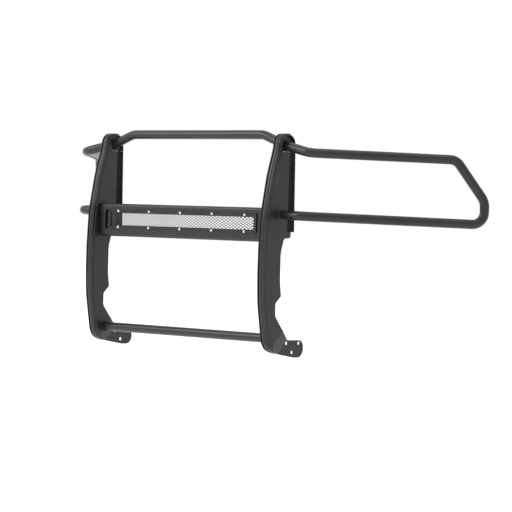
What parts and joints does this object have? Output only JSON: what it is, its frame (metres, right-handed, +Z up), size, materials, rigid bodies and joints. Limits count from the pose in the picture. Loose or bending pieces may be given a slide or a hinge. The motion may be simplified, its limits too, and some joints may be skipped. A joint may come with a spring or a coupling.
{
  "type": "front grille guard",
  "caption": "Black steel grille guard for a full-size pickup, with arched box uprights, a mesh crossbar, top and bottom bars and a wrap-round tube hoop on each side.",
  "frame": {"origin": "middle of the bounding box's underside, level with the lowest edge of the mounting flanges", "axes": "+X across the vehicle towards the guard's right-hand hoop as seen from in front, +Y rearward towards the vehicle, +Z up"},
  "size_m": [1.9868, 0.5788, 0.8027],
  "materials": {
    "upright_coat": "textured black powder coat",
    "tube_coat": "textured black powder coat",
    "crossbar_coat": "textured black powder coat",
    "mesh_coat": "black powder coat",
    "rubber": "matt moulded rubber",
    "screw_steel": "bright plated steel",
    "nut_steel": "plated steel"
  },
  "bodies": {
    "root": {"left_front_channel": "upright_coat", "right_front_channel": "upright_coat", "left_outer_side_plate": "upright_coat", "right_outer_side_plate": "upright_coat", "left_inner_side_plate": "upright_coat", "right_inner_side_plate": "upright_coat", "left_top_gusset": "upright_coat", "right_top_gusset": "upright_coat", "left_rubber_strip": "rubber", "right_rubber_strip": "rubber", "left_tube_hoop": "tube_coat", "right_tube_hoop": "tube_coat", "left_hoop_collar": "tube_coat", "right_hoop_collar": "tube_coat", "left_bottom_bar_collar": "tube_coat", "right_bottom_bar_collar": "tube_coat", "top_bar": "tube_coat", "bottom_bar": "tube_coat", "crossbar_housing": "crossbar_coat", "left_crossbar_end_plate": "crossbar_coat", "right_crossbar_end_plate": "crossbar_coat", "mesh_screen": "mesh_coat", "mesh_screws": "screw_steel", "mesh_nuts": "nut_steel"}
  },
  "joints": []
}
